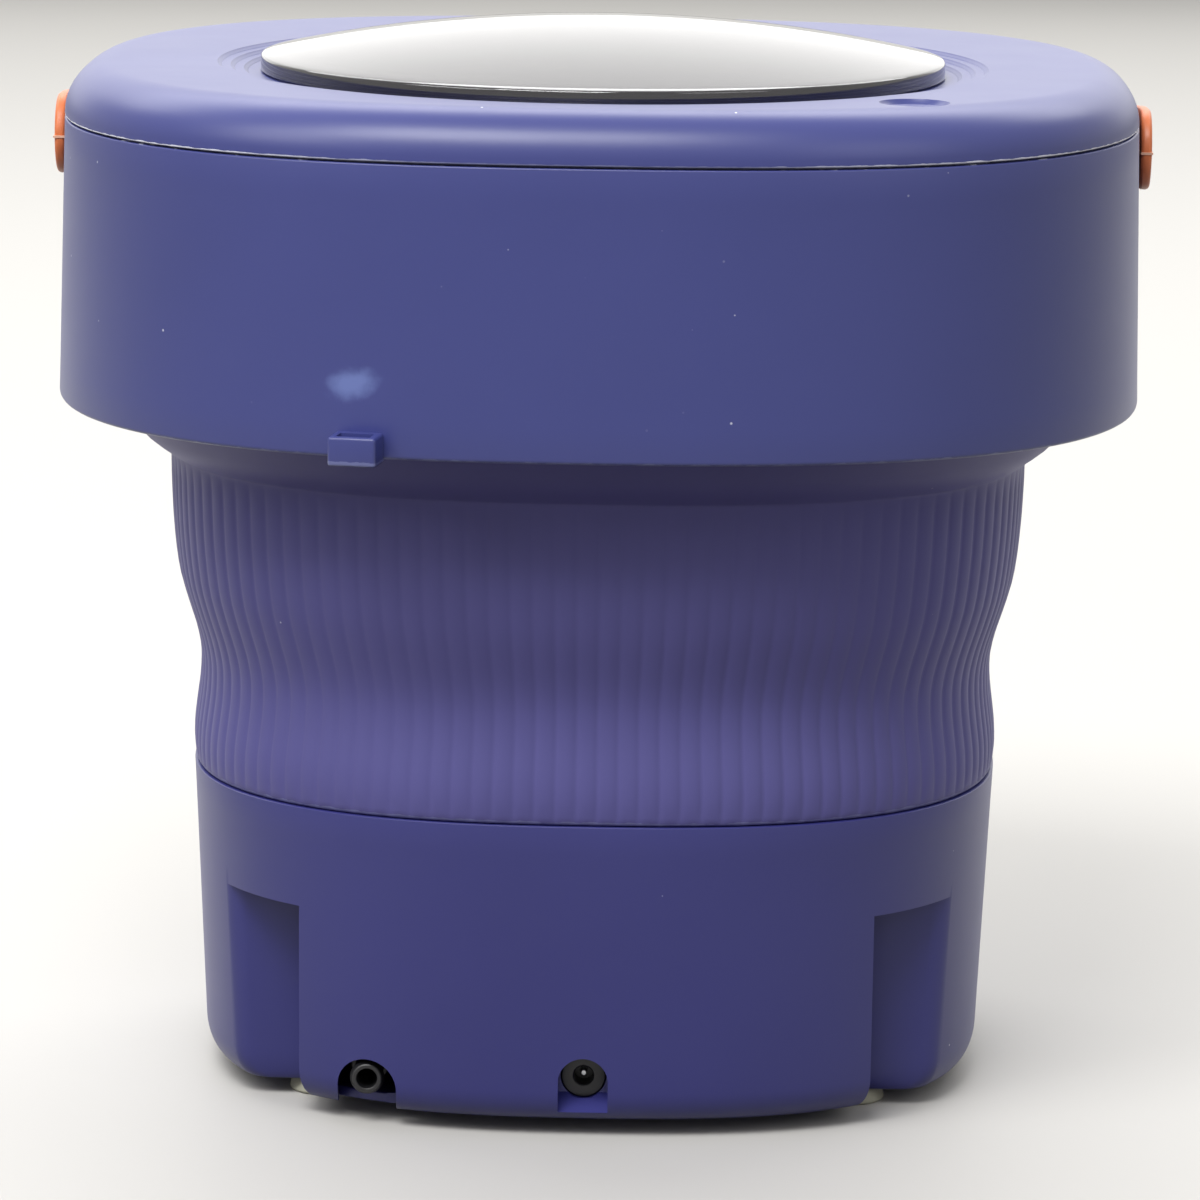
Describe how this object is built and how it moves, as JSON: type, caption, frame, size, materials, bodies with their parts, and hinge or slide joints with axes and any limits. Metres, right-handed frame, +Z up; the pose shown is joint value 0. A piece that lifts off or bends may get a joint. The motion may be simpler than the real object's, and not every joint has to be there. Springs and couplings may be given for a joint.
{
  "type": "folding mini washing machine",
  "caption": "Collapsible portable clothes washer: a top housing with a clear round lid and a bail handle, on a fluted folding bellows over a base with the drive.",
  "frame": {"origin": "on the surface the feet stand on, under the middle of the machine", "axes": "+Z up, +Y towards the control panel, -Y towards the drain and the power inlet, +X to the right seen from the drain side"},
  "size_m": [0.3258, 0.3103, 0.315],
  "materials": {
    "housing_abs": "fine moulded satin",
    "base_abs": "fine moulded satin",
    "bellows_silicone": "matt, fluted",
    "handle_abs": "satin",
    "lid_clear": "polished",
    "white_pp": "satin",
    "foot_rubber": "matt",
    "black_plastic": "semi-gloss",
    "black_rubber": "matt",
    "steel": "turned",
    "board_green": "solder mask",
    "key_white": "polished"
  },
  "bodies": {
    "base": {"base_shell": "base_abs", "bottom_cover": "base_abs", "foot_rear_left": "foot_rubber", "foot_rear_right": "foot_rubber", "foot_front_right": "foot_rubber", "foot_front_left": "foot_rubber", "base_screw_1": "steel", "base_screw_2": "steel", "base_screw_3": "steel", "base_screw_4": "steel", "tub_well": "white_pp", "lower_bearing": "steel", "upper_bearing": "steel", "shaft_seal": "black_rubber", "motor_stator": "steel", "drain_tube": "black_rubber", "drain_spigot": "black_plastic", "dc_jack": "black_plastic", "lower_clamp_ring": "white_pp", "bellows": "bellows_silicone", "control_panel": "black_plastic", "indicator_lens": "key_white", "control_board": "board_green", "drive_board": "board_green"},
    "top_housing": {"upper_shell": "housing_abs", "top_cover": "housing_abs", "tub_collar": "white_pp", "hose_clip": "housing_abs", "handle_pin_left": "handle_abs", "handle_pin_right": "handle_abs"},
    "bail": {"handle": "handle_abs"},
    "lid": {"lid_window": "lid_clear", "lid_rim": "black_plastic", "lid_seal": "bellows_silicone"},
    "drive": {"drive_shaft": "steel", "motor_rotor": "steel", "pulsator": "white_pp", "pulsator_screw": "steel"},
    "power_key": {"power_button": "key_white"},
    "mode_key": {"mode_button": "key_white"}
  },
  "joints": [
    {"name": "fold", "type": "slide", "parent": "base", "child": "top_housing", "axis": [0, 0, -1], "range_m": [0, 0.105], "deforming": ["bellows"]},
    {"name": "bail_hinge", "type": "hinge", "parent": "top_housing", "child": "bail", "pos_m": [0, 0, 0.2777], "axis": [1, 0, 0], "range_deg": [0, 180]},
    {"name": "lid_lift", "type": "slide", "parent": "top_housing", "child": "lid", "axis": [0, 0, 1], "range_m": [0, 0.12]},
    {"name": "pulsator_spin", "type": "hinge", "parent": "base", "child": "drive", "pos_m": [0, 0, 0.03], "axis": [0, 0, 1], "continuous": true},
    {"name": "power_press", "type": "slide", "parent": "base", "child": "power_key", "axis": [0, -1, 0], "range_m": [0, 0.0012], "stiffness_N_per_m": 600},
    {"name": "mode_press", "type": "slide", "parent": "base", "child": "mode_key", "axis": [0, -1, 0], "range_m": [0, 0.0012], "stiffness_N_per_m": 600}
  ]
}
